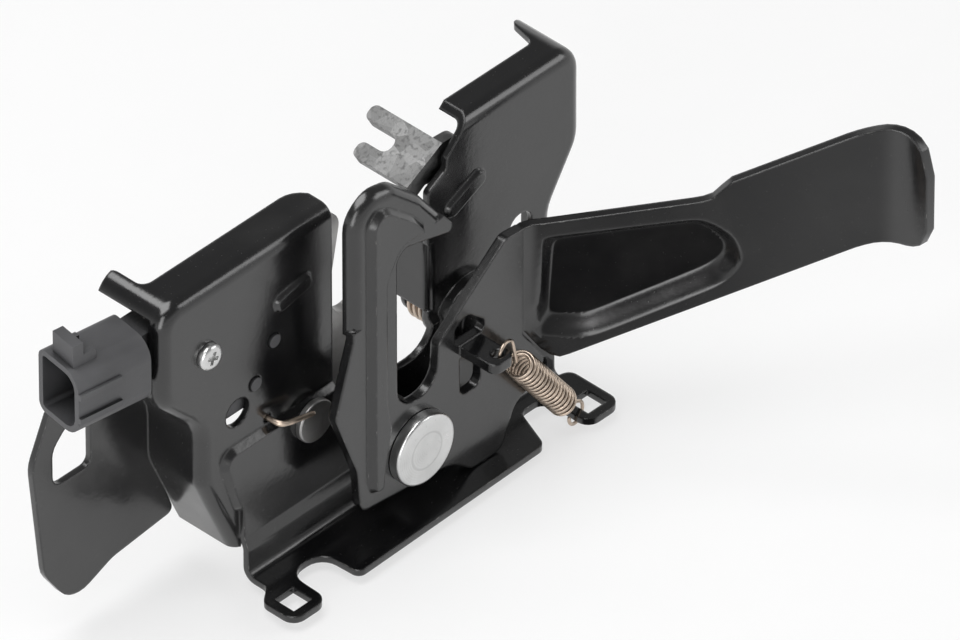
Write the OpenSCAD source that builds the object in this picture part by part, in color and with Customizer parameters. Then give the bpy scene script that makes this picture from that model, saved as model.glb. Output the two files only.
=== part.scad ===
/* [Mounting] */
// Distance between the two mounting bolt holes
bolt_spacing = 109; // [104:1:112]
// Diameter of each mounting bolt hole
bolt_hole_d = 9; // [7:0.5:10]

/* [Base plate] */
// Thickness of the base plate's sheet
base_t = 2; // [1.6:0.1:2.2]
// Inside radius of the base plate's bends
base_bend_r = 2; // [1.5:0.1:2.5]
// Width of the panel over its rolled rim
panel_w = 161.6; // [158:0.2:168]
// Height of the rim's top above the lever pivot
panel_top = 82; // [80:0.5:88]
// Radius of the rim's two top corners
rim_corner_r = 8; // [7:0.5:10]
// Depth of the left top flange
left_flange_depth = 12.6; // [10:0.2:16]
// Depth of the right top flange
right_flange_depth = 10; // [8:0.2:14]
// Depth of the two top arms
arm_depth = 24; // [20:0.5:28]
// Width of each top arm
arm_w = 6.4; // [5:0.2:8]
// Depth of the left lug's front face behind the panel
lug_depth = 20; // [16:0.5:22]
// How far the lower panel steps forward
step_h = 1.9; // [1.3:0.1:2.5]
// Width of the striker throat
throat_w = 37; // [33:0.5:39]
// Height of the throat's bottom above the lever pivot
throat_bottom = 14; // [12.5:0.5:16]
// Depth of the bottom flange's top below the lever pivot
flange_drop = 21.2; // [19:0.2:25]
// Reach of the bottom flange in front of the panel
flange_reach = 24; // [20:0.5:28]
// Side of the square holes in the flange's ears
ear_hole = 7; // [5:0.2:8]

/* [Safety lever] */
// Thickness of the lever's sheet
lever_t = 3; // [2.4:0.1:3.4]
// Gap between the lower panel and the lever
lever_gap = 11; // [9:0.5:13]
// Depth of the hook's rolled rim
hook_rim_depth = 4.2; // [4:0.2:8]
// Height of the hook's top above the pivot
hook_top = 94.5; // [91:0.5:99]
// Width of the lever's striker slot
slot_w = 15.4; // [13:0.2:17]
// Height of the raised rib
rib_h = 2; // [1.2:0.1:2.4]
// Angle between the handle and the panel
handle_angle = 44; // [36:1:50]
// Rise of the handle's bottom edge over its length
handle_slope = 0.445; // [0.36:0.005:0.5]
// Length of the handle past its bend, before the curled tip
handle_len = 84; // [74:1:92]
// Angle that the handle's tip curls through
tip_curl = 52; // [30:1:60]
// Bend radius of the handle's curled tip
tip_r = 26; // [20:1:34]
// Depth of the pressed hollow in the handle
hollow_depth = 5; // [2:0.5:6]

/* [Pivots] */
// Diameter of the lever rivet's shank
lever_pin_d = 12; // [10:0.5:12.5]
// Diameter of the lever rivet's head
lever_head_d = 22; // [20:0.5:24]
// Diameter of the claw and pawl rivets' shanks
small_pin_d = 10; // [8:0.5:10.5]
// Diameter of the claw and pawl rivets' front heads
small_head_d = 13; // [12.5:0.5:16]
// Radial running clearance at each pivot
run_gap = 0.05; // [0.03:0.01:0.08]
// End clearance beside each turning piece
end_gap = 0.1; // [0.08:0.01:0.2]
// Wall of the lever's bearing bush
bush_wall = 1; // [0.8:0.1:1.4]

/* [Claw and pawl] */
// Thickness of the claw
claw_t = 4; // [3:0.5:4.5]
// Thickness of the pawl
pawl_t = 3.5; // [2.5:0.5:4]
// Gap between the panel and the claw and pawl
claw_gap = 1; // [0.8:0.1:1.6]
// Turn of the claw from open to closed
claw_turn = 36; // [33:0.5:38]
// Turn that draws the pawl back from the closed claw
pawl_turn = 9; // [8:0.5:12]
// Length of the pawl's cable fork behind the panel
fork_len = 28; // [24:0.5:32]
// Width of the notch in the cable fork
fork_notch_w = 5.6; // [4:0.2:6.4]

/* [Switch] */
// Depth of the switch housing
switch_depth = 15; // [12:0.5:18]
// Thickness of the switch cover
cover_t = 1.6; // [1.2:0.1:2.4]
// Length of the connector shroud
shroud_len = 24; // [20:0.5:28]
// Height of the connector shroud
shroud_h = 21; // [18:0.5:22]
// Width of the connector shroud
shroud_w = 17.5; // [15:0.5:18]
// Wall of the connector shroud
shroud_wall = 1.8; // [1.4:0.1:2.4]
// Turn of the connector shroud towards the back
shroud_turn = 8.5; // [6:0.5:10]
// Diameter of the switch plunger
plunger_d = 5; // [4:0.2:6]
// Travel of the switch plunger
plunger_travel = 2; // [1:0.1:3]
// Diameter of the housing's locating pegs
peg_d = 4; // [3:0.2:4.6]
// Diameter of the switch screw's thread
screw_d = 4; // [3:0.5:4.5]
// Diameter of the switch screw's head
screw_head_d = 8; // [7:0.2:9]

/* [Springs] */
// Wire diameter of the lever's extension spring
lever_wire = 1.2; // [0.8:0.1:1.4]
// Outside diameter of the lever's extension spring
lever_coil_d = 9; // [7:0.2:10]
// Turns of the lever's extension spring
lever_coils = 17; // [12:1:20]
// Wire diameter of the claw and pawl springs
torsion_wire = 1.8; // [1.2:0.1:2]
// Turns of the claw and pawl springs
torsion_turns = 3; // [2:1:3]
// Wire diameter of the plunger spring
plunger_wire = 0.6; // [0.4:0.1:0.8]

/* [Hidden] */
$fn = 64;
paint = [0.10, 0.10, 0.10];
zinc = [0.78, 0.78, 0.76];
steel = [0.56, 0.56, 0.55];
spring_steel = [0.42, 0.37, 0.32];
plastic = [0.16, 0.16, 0.17];
brass = [0.72, 0.58, 0.30];
arc_step = 15;
overlap = 1;

// Pivots, measured from the lever pivot as [across, up]
claw_at = [-25.9, 16.5];
pawl_at = [35.2, 16.8];
// The left bolt hole stands here, and the part's origin lies midway between the two
left_bolt = [-52.2, 33];
lever_pivot = [-left_bolt.x - bolt_spacing / 2, -left_bolt.y];

// Depths, front to back: negative is in front of the upper panel
bend_out = base_bend_r + base_t;
lower_front = -step_h;
lower_back = base_t - step_h;
lever_back = lower_front - lever_gap;
lever_front = lever_back - lever_t;
claw_front = base_t + claw_gap;
claw_back = claw_front + claw_t;
pawl_back = claw_front + pawl_t;
half_w = panel_w / 2;

function flat(p) = [p[0], p[1]];
function unit(v) = v / norm(v);
function left_of(v) = [-v.y, v.x];
function reversed(list) = [for (i = [len(list) - 1:-1:0]) list[i]];
function heading(a, b) = unit(flat(b) - flat(a));
function turned(p, angle) = [p.x * cos(angle) - p.y * sin(angle), p.x * sin(angle) + p.y * cos(angle)];

// Angle inside the corner b of the path a, b, c
function corner_angle(a, b, c) = acos(max(-1, min(1, heading(b, a) * heading(b, c))));

// Points of the corner b, rounded to the radius in its third number
function corner_points(a, b, c) =
    let (angle = corner_angle(a, b, c), r = b[2])
    r <= 0 || angle > 179.5 ? [flat(b)] :
    let (
        u = heading(b, a),
        v = heading(b, c),
        middle = flat(b) + unit(u + v) * r / sin(angle / 2),
        first = flat(b) + u * r / tan(angle / 2) - middle,
        turn = (180 - angle) * (cross(u, v) > 0 ? -1 : 1),
        steps = max(2, ceil((180 - angle) / arc_step))
    )
    [for (k = [0:steps]) middle + turned(first, turn * k / steps)];

// Closed outline from corners [x, y, radius]
function rounded(corners) =
    let (n = len(corners))
    [for (i = [0:n - 1]) each corner_points(corners[(i + n - 1) % n], corners[i], corners[(i + 1) % n])];

// Open path from corners [x, y, radius]
function rounded_path(corners) =
    let (last = len(corners) - 1)
    concat(
        [flat(corners[0])],
        [for (i = [1:1:last - 1]) each corner_points(corners[i - 1], corners[i], corners[i + 1])],
        [flat(corners[last])]
    );

// One corner moved to the left of its path, with its radius kept concentric
function moved_corner(a, b, c, distance) =
    let (n1 = left_of(heading(a, b)), n2 = left_of(heading(b, c)))
    let (side = cross(heading(a, b), heading(b, c)) > 0 ? 1 : -1)
    let (place = flat(b) + distance * (n1 + n2) / (1 + n1 * n2))
    [place.x, place.y, max(0.2, b[2] - side * distance)];

// Closed corners moved to the left of their path
function moved(corners, distance) =
    let (n = len(corners))
    [for (i = [0:n - 1])
        moved_corner(corners[(i + n - 1) % n], corners[i], corners[(i + 1) % n], distance)];

// An open path moved to its left, end points square to their runs
function moved_path(corners, distance) =
    let (last = len(corners) - 1)
    let (start = flat(corners[0]) + distance * left_of(heading(corners[0], corners[1])))
    let (end = flat(corners[last]) + distance * left_of(heading(corners[last - 1], corners[last])))
    concat(
        [[start.x, start.y, 0]],
        [for (i = [1:1:last - 1]) moved_corner(corners[i - 1], corners[i], corners[i + 1], distance)],
        [[end.x, end.y, 0]]
    );

// Section of a bent sheet: a path with inside bend radii, thickened to its left
function bent_sheet(corners, t) =
    let (last = len(corners) - 1)
    let (near = [for (i = [0:last])
        let (left = i > 0 && i < last
            && cross(heading(corners[i - 1], corners[i]), heading(corners[i], corners[i + 1])) > 0)
        [corners[i].x, corners[i].y, i == 0 || i == last ? 0 : corners[i][2] + (left ? t : 0)]])
    concat(rounded_path(near), reversed(rounded_path(moved_path(near, t))));

// Draws everything that is measured from the lever pivot
module at_pivot() {
    translate([lever_pivot.x, 0, lever_pivot.y]) children();
}

// A front-view outline made into a plate that starts at depth y
module plate(y, t) {
    translate([0, y + t, 0]) rotate([90, 0, 0]) linear_extrude(t) children();
}

// A round bar or disc on a front-to-back axis, from depth y
module disc(at, d, y, t) {
    translate([at.x, y, at.y]) rotate([-90, 0, 0]) cylinder(d = d, h = t);
}

// A ring on a front-to-back axis
module ring(at, outer_d, inner_d, y, t) {
    difference() {
        disc(at, outer_d, y, t);
        disc(at, inner_d, y - overlap, t + 2 * overlap);
    }
}

// Triangles that fill an outline, in its own order, cut off one corner at a time
function spin(points) =
    sign(add([for (i = [0:len(points) - 1]) cross(points[i], points[(i + 1) % len(points)])]));
function covers(a, b, c, p, side) =
    side * cross(b - a, p - a) >= 0 && side * cross(c - b, p - b) >= 0 && side * cross(a - c, p - c) >= 0;
function is_ear(points, ids, k, side) =
    let (
        n = len(ids),
        a = points[ids[(k + n - 1) % n]],
        b = points[ids[k % n]],
        c = points[ids[(k + 1) % n]]
    )
    side * cross(b - a, c - b) > 0
    && len([for (i = ids) let (p = points[i])
        if (p != a && p != b && p != c && covers(a, b, c, p, side)) i]) == 0;
function next_ear(points, ids, side, k, tries) =
    tries == 0 || is_ear(points, ids, k, side) ? k % len(ids)
    : next_ear(points, ids, side, k + 1, tries - 1);
function cut_ears(points, ids, side, start) =
    len(ids) == 3 ? [ids]
    : let (n = len(ids), k = next_ear(points, ids, side, start, n))
    concat(
        [[ids[(k + n - 1) % n], ids[k], ids[(k + 1) % n]]],
        cut_ears(points, [for (i = [0:n - 1]) if (i != k) ids[i]], side, k + 1)
    );
function fill(points) = cut_ears(points, [for (i = [0:len(points) - 1]) i], spin(points), 0);

// A frustum between two outlines of equal length, the first one further back
module loft(back_outline, back_y, front_outline, front_y) {
    n = len(back_outline);
    polyhedron(
        points = concat(
            [for (p = back_outline) [p.x, back_y, p.y]],
            [for (p = front_outline) [p.x, front_y, p.y]]
        ),
        faces = concat(
            fill(back_outline),
            [for (f = fill(front_outline)) [for (i = reversed(f)) n + i]],
            [for (i = [0:n - 1]) [i, n + i, n + (i + 1) % n, (i + 1) % n]]
        )
    );
}

// A pressing that stands proud of depth y, with sloping walls
module pressing_front(corners, y, h, slope) {
    loft(rounded(moved(corners, -slope * overlap / h)), y + overlap, rounded(moved(corners, slope)), y - h);
}

// The hollow behind that pressing, in a sheet of thickness t
module pressing_back(corners, y, h, slope, t) {
    inner = t * 0.6;
    loft(rounded(moved(corners, inner - slope * overlap / h)), y + t + overlap,
        rounded(moved(corners, inner + slope)), y + t - h);
}

// A solid skinned over rings of points, each ring clockwise as seen from the start,
// with the flat outlines of its first and last rings
module skin(rings, first_outline, last_outline) {
    n = len(rings[0]);
    last = len(rings) - 1;
    walls = [for (i = [0:last - 1]) for (j = [0:n - 1])
        let (a = i * n + j, b = i * n + (j + 1) % n)
        each [[a, b + n, b], [a, a + n, b + n]]];
    polyhedron(
        points = [for (ring = rings) each ring],
        faces = concat(
            fill(first_outline),
            [for (f = fill(last_outline)) [for (j = reversed(f)) last * n + j]],
            walls
        )
    );
}

// Sweeps a section [depth, outward] along a front-view path, outward to its left
module edge_sweep(path, section) {
    outline = spin(section) > 0 ? section : reversed(section);
    lines = [for (p = outline) rounded_path(moved_path(path, p.y))];
    skin([for (i = [0:len(lines[0]) - 1])
        [for (k = [0:len(outline) - 1]) [lines[k][i].x, outline[k].x, lines[k][i].y]]], outline, outline);
}

// Round wire along a path of points
module tube(path, d, sides) {
    last = len(path) - 1;
    ways = [for (i = [0:last]) unit(path[min(last, i + 1)] - path[max(0, i - 1)])];
    seed = abs(ways[0].y) < 0.9 ? [0, 1, 0] : [1, 0, 0];
    // Each ring's first direction follows from the one before, so the wire does not twist
    sides_up = [for (i = 0, n = unit(seed - (seed * ways[0]) * ways[0]); i <= last;
        i = i + 1, n = i <= last ? unit(n - (n * ways[i]) * ways[i]) : n) n];
    wire = [for (j = [0:sides - 1]) d / 2 * [cos(360 * j / sides), sin(360 * j / sides)]];
    skin([for (i = [0:last]) [for (p = wire)
        path[i] + p.x * sides_up[i] + p.y * cross(ways[i], sides_up[i])]], wire, wire);
}

// Base plate: rim

// Outer edge of the rim, up the left side and clockwise round
left_knee = [-66, 15, 14];
left_waist = [-66, 35, 14];
panel_corners = [
    [-50, -22, 8],
    left_knee,
    left_waist,
    [-half_w, 50, 10],
    [-half_w, panel_top, rim_corner_r],
    [half_w, panel_top, rim_corner_r],
    [half_w, 50, 12],
    [half_w - 11.3, 32, 12],
    [half_w - 11.8, -22, 8]
];
window_foot = 56;
throat_left = 2.5 - throat_w / 2;
throat_right = throat_left + throat_w;
throat_corners = [
    [throat_left, panel_top + 20, 0],
    [throat_left, throat_bottom, 9],
    [throat_right, throat_bottom, 9],
    [throat_right, 65, 2],
    [throat_right + 7, 69, 2],
    [throat_right + 7, 72.5, 2],
    [throat_right + 17, panel_top + 0.5, 0],
    [throat_right + 17, panel_top + 20, 0]
];
step_corners = [
    [-61, 22.5, 5],
    [-53.5, -1, 4],
    [half_w - 16.3, -1, 4],
    [half_w - 16.3, 22.5, 5]
];
step_slope = 1.6;
right_bead = [[26.5, 56.4, 2.4], [28.9, 51.2, 2.4], [43.7, 58, 2.4], [41.3, 63.2, 2.4]];
left_bead = [[-38.7, 63.2, 2.4], [-37.5, 57.6, 2.4], [-23.5, 60.6, 2.4], [-24.7, 66.2, 2.4]];
bead_h = 1.2;
boss_d = 24;
boss_h = 1.4;
switch_screw_at = [-63.6, 59.4];
peg_places = [[-38.3, 49.6], [-45.6, 39.1]];
peg_gap = 0.15;

// Panel, bend and wall as [depth, inset]: out over the front, back down the inside
function bend(r, from) =
    [for (a = [from:from > 45 ? -arc_step : arc_step:from > 45 ? 0 : 90])
        [bend_out - r * sin(a), bend_out - r * cos(a)]];
rim_section = concat(
    bend(bend_out, 90),
    [[arm_depth, 0], [arm_depth, base_t]],
    bend(base_bend_r, 0)
);
lug_corners = [
    [-79, 49, 3],
    [-100.5, 56, 7],
    [-109.6, 36, 11],
    [-105.5, -3, 10],
    [-95.5, -18, 9],
    [-80, -11.5, 10],
    [-56.5, -9, 2],
    [left_knee.x + base_t / 2, left_knee.y, 12],
    [left_waist.x + base_t / 2, left_waist.y, 12]
];
lug_hole = [[-102, 25, 4], [-87.5, 25, 2.5], [-87.5, 44, 2.5], [-96, 44, 7], [-102, 38, 6]];
// Plan outlines of the two top flanges with their arms
flange_end_r = 8;
left_flange = [
    [-half_w - overlap, -overlap, 0],
    [throat_left + overlap, -overlap, 0],
    [throat_left + overlap, left_flange_depth, flange_end_r],
    [-half_w + arm_w, left_flange_depth, 3],
    [-half_w + arm_w, arm_depth + overlap, 3],
    [-half_w - overlap, arm_depth + overlap, 3.5]
];
right_flange = [
    [throat_right, -overlap, 0],
    [half_w + overlap, -overlap, 0],
    [half_w + overlap, arm_depth - 2, 3],
    [half_w - arm_w, arm_depth - 4, 3],
    [half_w - arm_w - 2.5, right_flange_depth, 3],
    [throat_right, right_flange_depth, 3]
];
// Bottom wall and flange, seen from the end
wall_forward = lower_front - 1.5;
flange_section = bent_sheet([
    [lower_front, 5, 0],
    [lower_front, -9.3, 2],
    [wall_forward, -12.8, 2],
    [wall_forward, -flange_drop, base_bend_r],
    [-flange_reach - 3, -flange_drop, 0]
], base_t);
ear_w = 13;
left_ear = [-51, -flange_reach + 5];
right_ear = [half_w - 17.2, -flange_reach + 5.5];
flange_left = -52;
flange_right = half_w - 14.3;
// Plan outline of the bottom flange, ears and notch included
flange_corners = [
    [flange_left, 0, 0],
    [flange_left, -10, 3],
    [left_ear.x - ear_w / 2, -14, 3],
    [left_ear.x - ear_w / 2, left_ear.y - ear_w / 2, 4],
    [left_ear.x + ear_w / 2, left_ear.y - ear_w / 2, 4],
    [left_ear.x + ear_w / 2 + 0.5, -10.5, 5.5],
    [left_ear.x + ear_w / 2 + 13, -10.5, 5.5],
    [left_ear.x + ear_w / 2 + 13.6, -flange_reach, 2.5],
    [half_w - 38.4, -flange_reach + 1.5, 3],
    [half_w - 32.9, -8.5, 3],
    [right_ear.x - ear_w / 2 - 2, -8.5, 3],
    [right_ear.x - ear_w / 2, -12, 2],
    [right_ear.x - ear_w / 2, right_ear.y - ear_w / 2, 4],
    [right_ear.x + ear_w / 2, right_ear.y - ear_w / 2, 4],
    [right_ear.x + ear_w / 2, -6, 3],
    [flange_right, -5, 0],
    [flange_right, 0, 0]
];

function rim_ring(inset) = rounded(moved(panel_corners, -inset));

module base_rim() {
    difference() {
        union() {
            skin(
                [for (p = rim_section) [for (q = rim_ring(p.y)) [q.x, p.x, q.y]]],
                rim_ring(rim_section[0].y),
                rim_ring(rim_section[len(rim_section) - 1].y)
            );
            plate(lug_depth, base_t) polygon(rounded(lug_corners));
        }
        // The left wall ends in the lug, and nothing stands below the panel
        difference() {
            translate([-half_w - 10, lug_depth + base_t / 2, -30]) cube([40, 20, window_foot + 30]);
            plate(lug_depth, base_t) polygon(rounded(lug_corners));
        }
        translate([-57, -10, -40]) cube([half_w + 70, arm_depth + 20, 26]);
        // Trims the top flanges to their plan outline
        difference() {
            translate([-half_w - 10, bend_out, panel_top - 14]) cube([panel_w + 20, arm_depth, 20]);
            for (outline = [left_flange, right_flange])
                translate([0, 0, panel_top - 20]) linear_extrude(30) polygon(rounded(outline));
        }
        // Window that the connector passes through
        translate([-half_w - 10, bend_out + 1, window_foot - 1])
            cube([20, arm_depth, panel_top - 4.5 - window_foot + 1]);
        // The right wall is lower than its arm
        translate([half_w - 20, right_flange_depth, -30])
            cube([30, arm_depth, panel_top - 8 + 30]);
        plate(-10, arm_depth + 20) polygon(rounded(throat_corners));
        plate(lug_depth - 5, 20) polygon(rounded(lug_hole));
    }
}

module base_step() {
    difference() {
        union() {
            base_rim();
            pressing_front(step_corners, 0, step_h, step_slope);
            for (bead = [left_bead, right_bead])
                pressing_front(bead, 0, bead_h, 0.8);
        }
        pressing_back(step_corners, 0, step_h, step_slope, base_t);
        // The bottom wall takes over here
        translate([flange_left + 1, lower_back, -40])
            cube([flange_right - flange_left - 2, 20, 43.5]);
        translate([flange_left + 1, lower_front - overlap, -40])
            cube([flange_right - flange_left - 2, 20, 40]);
    }
}

module bottom_flange() {
    intersection() {
        translate([flange_left - 20, 0, 0]) rotate([90, 0, 90])
            linear_extrude(panel_w) polygon(flange_section);
        union() {
            translate([flange_left, wall_forward - 1.2, -flange_drop - overlap])
                cube([flange_right - flange_left, 20, 40]);
            translate([0, 0, -flange_drop - 10]) linear_extrude(14) polygon(rounded(flange_corners));
        }
    }
}

// Wall bent back along the throat's right edge
wall_low = 24;
wall_high = 47;
wall_depth = 14;
throat_wall_plan = [
    [throat_right, wall_depth, 0],
    [throat_right, 0, 2.5],
    [throat_right + 6, 0, 0],
    [throat_right + 6, base_t, 0],
    [throat_right + base_t, base_t, 0.5],
    [throat_right + base_t, wall_depth, 0]
];

module throat_wall() {
    translate([0, 0, wall_low - 0.1]) linear_extrude(wall_high - wall_low + 0.2)
        polygon(rounded(throat_wall_plan));
}

module base_plate() {
    color(paint) at_pivot() difference() {
        union() {
            difference() {
                base_step();
                translate([throat_right - overlap, -5, wall_low]) cube([5, 12, wall_high - wall_low]);
            }
            throat_wall();
            bottom_flange();
            disc(pawl_at, boss_d, lower_front - boss_h, boss_h - lower_front + base_t / 2);
        }
        // Hollow behind the pawl's boss
        disc(pawl_at, boss_d - 2 * base_t, lower_back - boss_h, boss_h + overlap);
        plate(-10, 30) polygon(rounded(concat(
            [[throat_left, panel_top, 0]],
            [for (i = [1:2]) throat_corners[i]],
            [[throat_right, panel_top - 30, 0]]
        )));
        for (x = [left_bolt.x, left_bolt.x + bolt_spacing])
            disc([x, left_bolt.y], bolt_hole_d, -5, 12);
        disc([0, 0], lever_pin_d + 2 * run_gap, -8, 16);
        for (at = [claw_at, pawl_at])
            disc(at, small_pin_d + 2 * run_gap, -8, 16);
        disc(switch_screw_at, screw_d + 2 * peg_gap, -5, 12);
        for (at = peg_places)
            disc(at, peg_d + 2 * peg_gap, -5, 12);
        disc(claw_at + spring_hole, torsion_wire + 1, -8, 16);
        for (at = [left_ear, right_ear])
            translate([at.x - ear_hole / 2, at.y - ear_hole / 2, -flange_drop - 10])
                cube([ear_hole, ear_hole, 20]);
    }
}

// Safety lever

lever_bend_r = 0.6;
lever_bend_out = lever_bend_r + lever_t;
slot_left = -slot_w / 2;
slot_right = slot_w / 2;
stop_gap = 0.3;
lobe_foot = -flange_drop + stop_gap;
hook_left = -24.2;
// Outer edge of the hook, up its back and over its top
hook_path = [
    [hook_left, 50, 0],
    [hook_left, hook_top - 5.5, 9],
    [-16.5, hook_top, 8],
    [-8, hook_top - 1.8, 8],
    [3, hook_top - 11.9, 20],
    [12.3, hook_top - 24.3, 0]
];
// Edge of the flat behind that rim, run out to the edge before the rim ends
hook_flat = moved_path(concat(
    [[hook_left, 52, 0]],
    [for (i = [1:4]) hook_path[i]],
    [[9.5, hook_top - 20.6, 0]]
), -lever_bend_out - overlap / 4);
hook_section = bent_sheet([
    [lever_back, -lever_bend_out - overlap / 2, 0],
    [lever_back, -lever_t, lever_bend_r],
    [lever_front + hook_rim_depth, -lever_t, 0]
], lever_t);
handle_root_x = 41;
handle_root_low = 14;
handle_root_high = 50;
// Front outline of the flat part, clockwise up the hook's back and down the slot
lever_corners = concat(
    [[-21.6, -10.5, 3], [-23, 4, 6], [-31.2, 26.2, 4], [hook_left, 49, 3], [hook_left, 51.8, 0]],
    hook_flat,
    [
        [10.4, hook_top - 22.1, 0],
        [13.9, 67.8, 1.5],
        [13.2, 65.6, 1],
        [2.9, 68.3, 4],
        [-4.6, 70.2, 3],
        [slot_left, 67, 3],
        [slot_left, 15.5, 7.4],
        [slot_right, 15.5, 7.4],
        [slot_right + 0.6, 29.5, 3],
        [34.5, 50.5, 3],
        [handle_root_x, handle_root_high, 0],
        [handle_root_x, handle_root_low, 0],
        [43.5, 10.5, 2],
        [50.9, 1, 3],
        [46.5, -5.5, 3],
        [38, -7.5, 6],
        [32.5, lobe_foot, 5],
        [21, lobe_foot, 6],
        [14, -14.5, 14]
    ]
);
rib_corners = [
    [-18.8, -6.4, 2.6],
    [-13.6, -6.6, 2.4],
    [-12.8, 2, 5],
    [-10.4, 14, 4],
    [-12, 24, 8],
    [-12, 64, 8],
    [-7, 72.6, 5],
    [4.2, 71.6, 1.6],
    [-1.6, hook_top - 14.9, 14],
    [-11.3, hook_top - 6.5, 5],
    [-15.2, hook_top - 5.6, 3.5],
    [-19, hook_top - 9, 5],
    [-19, 6, 6]
];
rib_slope = 1.4;
rib_hollow = [[-17.4, 0, 1.5], [-13.8, 0, 1.5], [-13.8, hook_top - 14, 1.5], [-17.4, hook_top - 14, 1.5]];
lever_window = [[14.5, 24.3, 2], [26, 24.3, 1.6], [26, 28, 1.6], [19, 34, 3], [14.5, 30.8, 2]];
lance_slot = [[16.4, 6.5, 3], [24.6, 6.5, 3], [24.6, 20.4, 1], [16.4, 20.4, 1]];
tab_low = 21;
tab_left = 16.5;
tab_right = 24.5;
tab_reach = 13;
tab_hole_d = 3.8;
tab_hole_at = [tab_right - 3.2, lever_front - tab_reach + 3.8];

// Handle: a sheet that bends forward, runs up to the paddle and curls at its tip

root_run = 4;
root_r = 5;
root_arc = root_r * handle_angle * PI / 180;
tip_arc = tip_r * tip_curl * PI / 180;
tip_straight = 2;
handle_run = root_run + root_arc + handle_len + tip_arc + tip_straight;
// Direction of the sheet, in degrees towards the front, at a distance along it
function handle_turn(s) =
    let (a = s - root_run, b = a - root_arc - handle_len)
    a <= 0 ? 0
    : a <= root_arc ? handle_angle * a / root_arc
    : b <= 0 ? handle_angle
    : b <= tip_arc ? handle_angle + tip_curl * b / tip_arc
    : handle_angle + tip_curl;
function along(angle) = [cos(angle), -sin(angle)];
function toward_front(angle) = [-sin(angle), -cos(angle)];
// Middle of the sheet in plan, at a distance along it
handle_start = [handle_root_x - root_run, (lever_front + lever_back) / 2];
bend_end = handle_start + [root_run, 0] + root_r * (toward_front(0) - toward_front(handle_angle));
paddle_end = bend_end + handle_len * along(handle_angle);
tip_angle = handle_angle + tip_curl;
tip_end = paddle_end + tip_r * (toward_front(handle_angle) - toward_front(tip_angle));
function handle_mid(s) =
    let (a = s - root_run, b = a - root_arc - handle_len, turn = handle_turn(s))
    a <= 0 ? handle_start + [s, 0]
    : a <= root_arc ? handle_start + [root_run, 0] + root_r * (toward_front(0) - toward_front(turn))
    : b <= 0 ? bend_end + (a - root_arc) * along(handle_angle)
    : b <= tip_arc ? paddle_end + tip_r * (toward_front(handle_angle) - toward_front(turn))
    : tip_end + (b - tip_arc) * along(tip_angle);

// Edges of the handle's blank by distance along it
heel = root_run + root_arc + 8;
paddle_w = 38;
foot_z = 5;
function bottom_line(s) = foot_z + handle_slope * (s - heel);
neck = root_run + root_arc + 45;
tip_low_r = 9;
tip_high_r = 17;
flare = 6;
flare_len = 20;
function round_off(s, r) = let (d = max(0, s - handle_run + r)) r - sqrt(max(0, r * r - d * d));
function heel_round(s) =
    s < heel ? (handle_root_low + 0.5 - foot_z) * pow(max(0, min(1, (heel - s) / 10)), 2) : 0;
function bottom_edge(s) =
    s < heel ? foot_z + heel_round(s)
    : bottom_line(s) - flare * pow(max(0, (s - handle_run + flare_len) / flare_len), 2)
        + round_off(s, tip_low_r);
top_at_neck = handle_root_high + 6.6;
function top_edge(s) =
    lookup(s, [
        [0, handle_root_high - 0.5],
        [root_run + root_arc + 4, handle_root_high + 0.8],
        [neck, top_at_neck],
        [neck + 3, top_at_neck + 0.9],
        [neck + 8, bottom_line(neck + 8) + paddle_w],
        [handle_run, bottom_line(handle_run) + paddle_w]
    ]) - round_off(s, tip_high_r);

// Pressed hollow: soft distance inside its outline, as [distance along, height]
hollow_corners = [
    [root_run + root_arc + 1, 46.5],
    [root_run + root_arc - 1, 12],
    [root_run + root_arc + 14.5, 10],
    [root_run + root_arc + 53, 28.5],
    [root_run + root_arc + 58, 36],
    [root_run + root_arc + 55.5, 45],
    [root_run + root_arc + 46, 52]
];
hollow_wall = 6;
hollow_soft = 1.1;
function inside_by(p, i) =
    let (a = hollow_corners[i], b = hollow_corners[(i + 1) % len(hollow_corners)])
    (p - a) * left_of(unit(b - a));
function add(list, i = 0) = i < len(list) ? list[i] + add(list, i + 1) : 0;
function hollow_inside(p) =
    -hollow_soft * ln(add([for (i = [0:len(hollow_corners) - 1])
        exp(-max(-12, inside_by(p, i)) / hollow_soft)]));
function ease(x) = let (c = max(0, min(1, x))) c * c * (3 - 2 * c);
function hollow_at(p) = hollow_depth * ease(hollow_inside(p) / hollow_wall);

handle_columns = 46;
handle_rows = 12;
root_shrink = 0.2;
// One face of the handle's sheet: side 1 is the front and -1 the back
function handle_face(side) =
    [for (i = [0:handle_columns]) for (j = [0:handle_rows])
        let (
            s = handle_run * i / handle_columns,
            z = bottom_edge(s) + (top_edge(s) - bottom_edge(s)) * j / handle_rows,
            forward = side * (lever_t - root_shrink) / 2 - hollow_at([s, z]),
            place = handle_mid(s) + forward * toward_front(handle_turn(s))
        )
        [place.x, place.y, z]];

module handle() {
    rows = handle_rows + 1;
    front = handle_face(1);
    back = handle_face(-1);
    n = len(front);
    rim = concat(
        [for (j = [0:handle_rows]) j],
        [for (i = [1:handle_columns]) i * rows + handle_rows],
        [for (j = [handle_rows - 1:-1:0]) handle_columns * rows + j],
        [for (i = [handle_columns - 1:-1:1]) i * rows]
    );
    faces = [for (i = [0:handle_columns - 1]) for (j = [0:handle_rows - 1])
        let (a = i * rows + j, b = a + rows)
        each [
            [a, a + 1, b + 1],
            [a, b + 1, b],
            [n + a, n + b + 1, n + a + 1],
            [n + a, n + b, n + b + 1]
        ]];
    walls = [for (k = [0:len(rim) - 1])
        let (a = rim[k], b = rim[(k + 1) % len(rim)])
        each [[a, n + b, b], [a, n + a, n + b]]];
    polyhedron(points = concat(front, back), faces = concat(faces, walls));
}

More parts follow.
